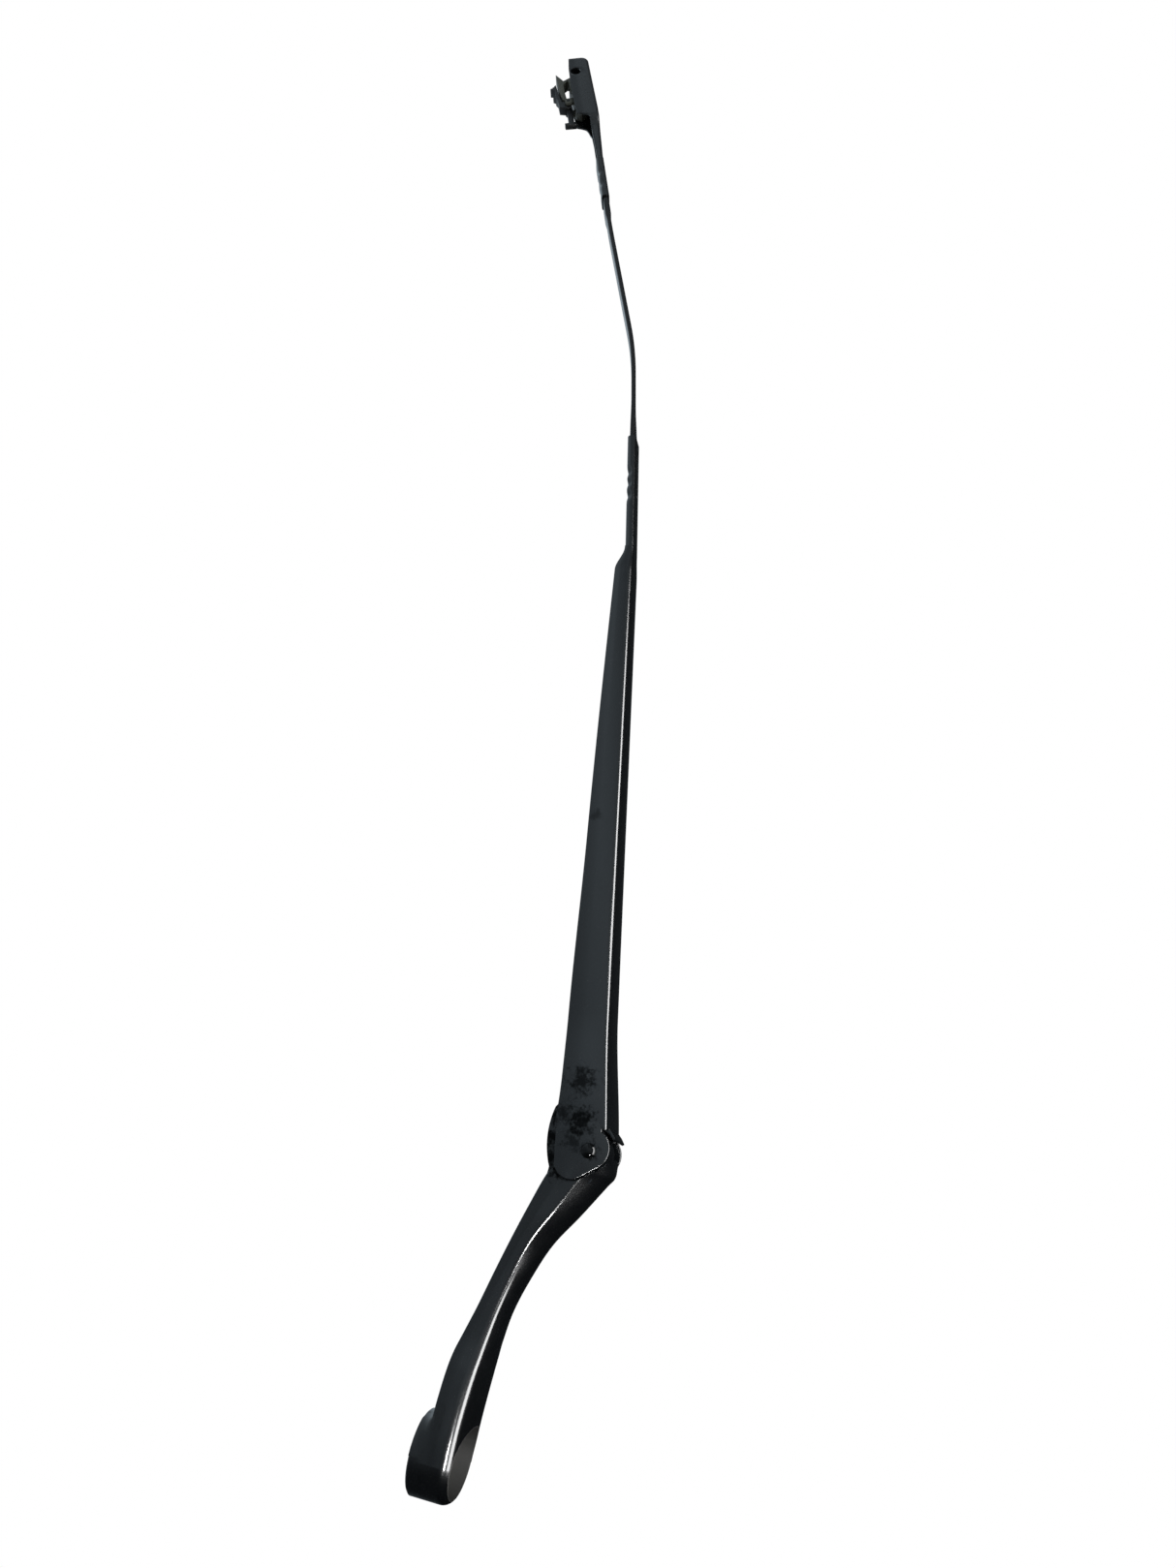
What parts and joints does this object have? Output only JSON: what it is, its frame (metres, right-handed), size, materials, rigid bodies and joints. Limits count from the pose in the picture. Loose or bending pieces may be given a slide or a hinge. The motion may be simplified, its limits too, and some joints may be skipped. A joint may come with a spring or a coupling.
{
  "type": "wiper arm",
  "caption": "Windscreen wiper arm with a die-cast head, a sprung hinge, a pressed channel, a flat twisted rod and a blade end with its plastic adapter.",
  "frame": {"origin": "centre of the nut seat on the wiper spindle's axis", "axes": "+Z along the spindle axis, away from the glass; +X along the arm to the blade end; +Y across the arm"},
  "size_m": [0.6979, 0.028, 0.1594],
  "materials": {
    "cast_black": "gloss",
    "sheet_black": "semi-gloss",
    "rod_black": "semi-gloss",
    "tip_black": "semi-gloss",
    "rivet_black": "semi-gloss",
    "pin_steel": "satin",
    "spring_steel": "satin",
    "link_steel": "satin",
    "bush_plastic": "matte",
    "adapter_plastic": "matte",
    "latch_plastic": "matte"
  },
  "bodies": {
    "head": {"mounting_head": "cast_black", "spring_anchor_pin": "pin_steel", "hinge_bush_near": "bush_plastic", "hinge_bush_far": "bush_plastic"},
    "arm": {"channel": "sheet_black", "hinge_rivet": "rivet_black", "rod": "rod_black", "tip_holder": "tip_black", "adapter_pin": "pin_steel"},
    "spring": {"tension_spring": "spring_steel", "spring_link": "link_steel"},
    "adapter": {"blade_adapter": "adapter_plastic"},
    "latch": {"release_latch": "latch_plastic"}
  },
  "joints": [
    {"name": "arm_lift", "type": "hinge", "parent": "head", "child": "arm", "pos_m": [0.1082, 0, 0.03], "axis": [0, -1, 0], "range_deg": [0, 57]},
    {"name": "spring_swing", "type": "hinge", "parent": "head", "child": "spring", "pos_m": [0.10236, 0, 0.02483], "axis": [0, -1, 0], "range_deg": [0, 53.8], "deforming": ["tension_spring"]},
    {"name": "adapter_pivot", "type": "hinge", "parent": "arm", "child": "adapter", "pos_m": [0.66288, 0.00118, -0.10345], "axis": [0.0554, 0.9848, 0.1646], "range_deg": [-10, 6]},
    {"name": "latch_press", "type": "hinge", "parent": "adapter", "child": "latch", "pos_m": [0.65051, 0.00215, -0.1051], "axis": [0.0554, 0.9848, 0.1646], "range_deg": [0, 6], "stiffness_Nm_per_rad": 0.1}
  ],
  "couplings": [
    {"joint": "spring_swing", "follows": "arm_lift", "ratio": 0.9444}
  ]
}
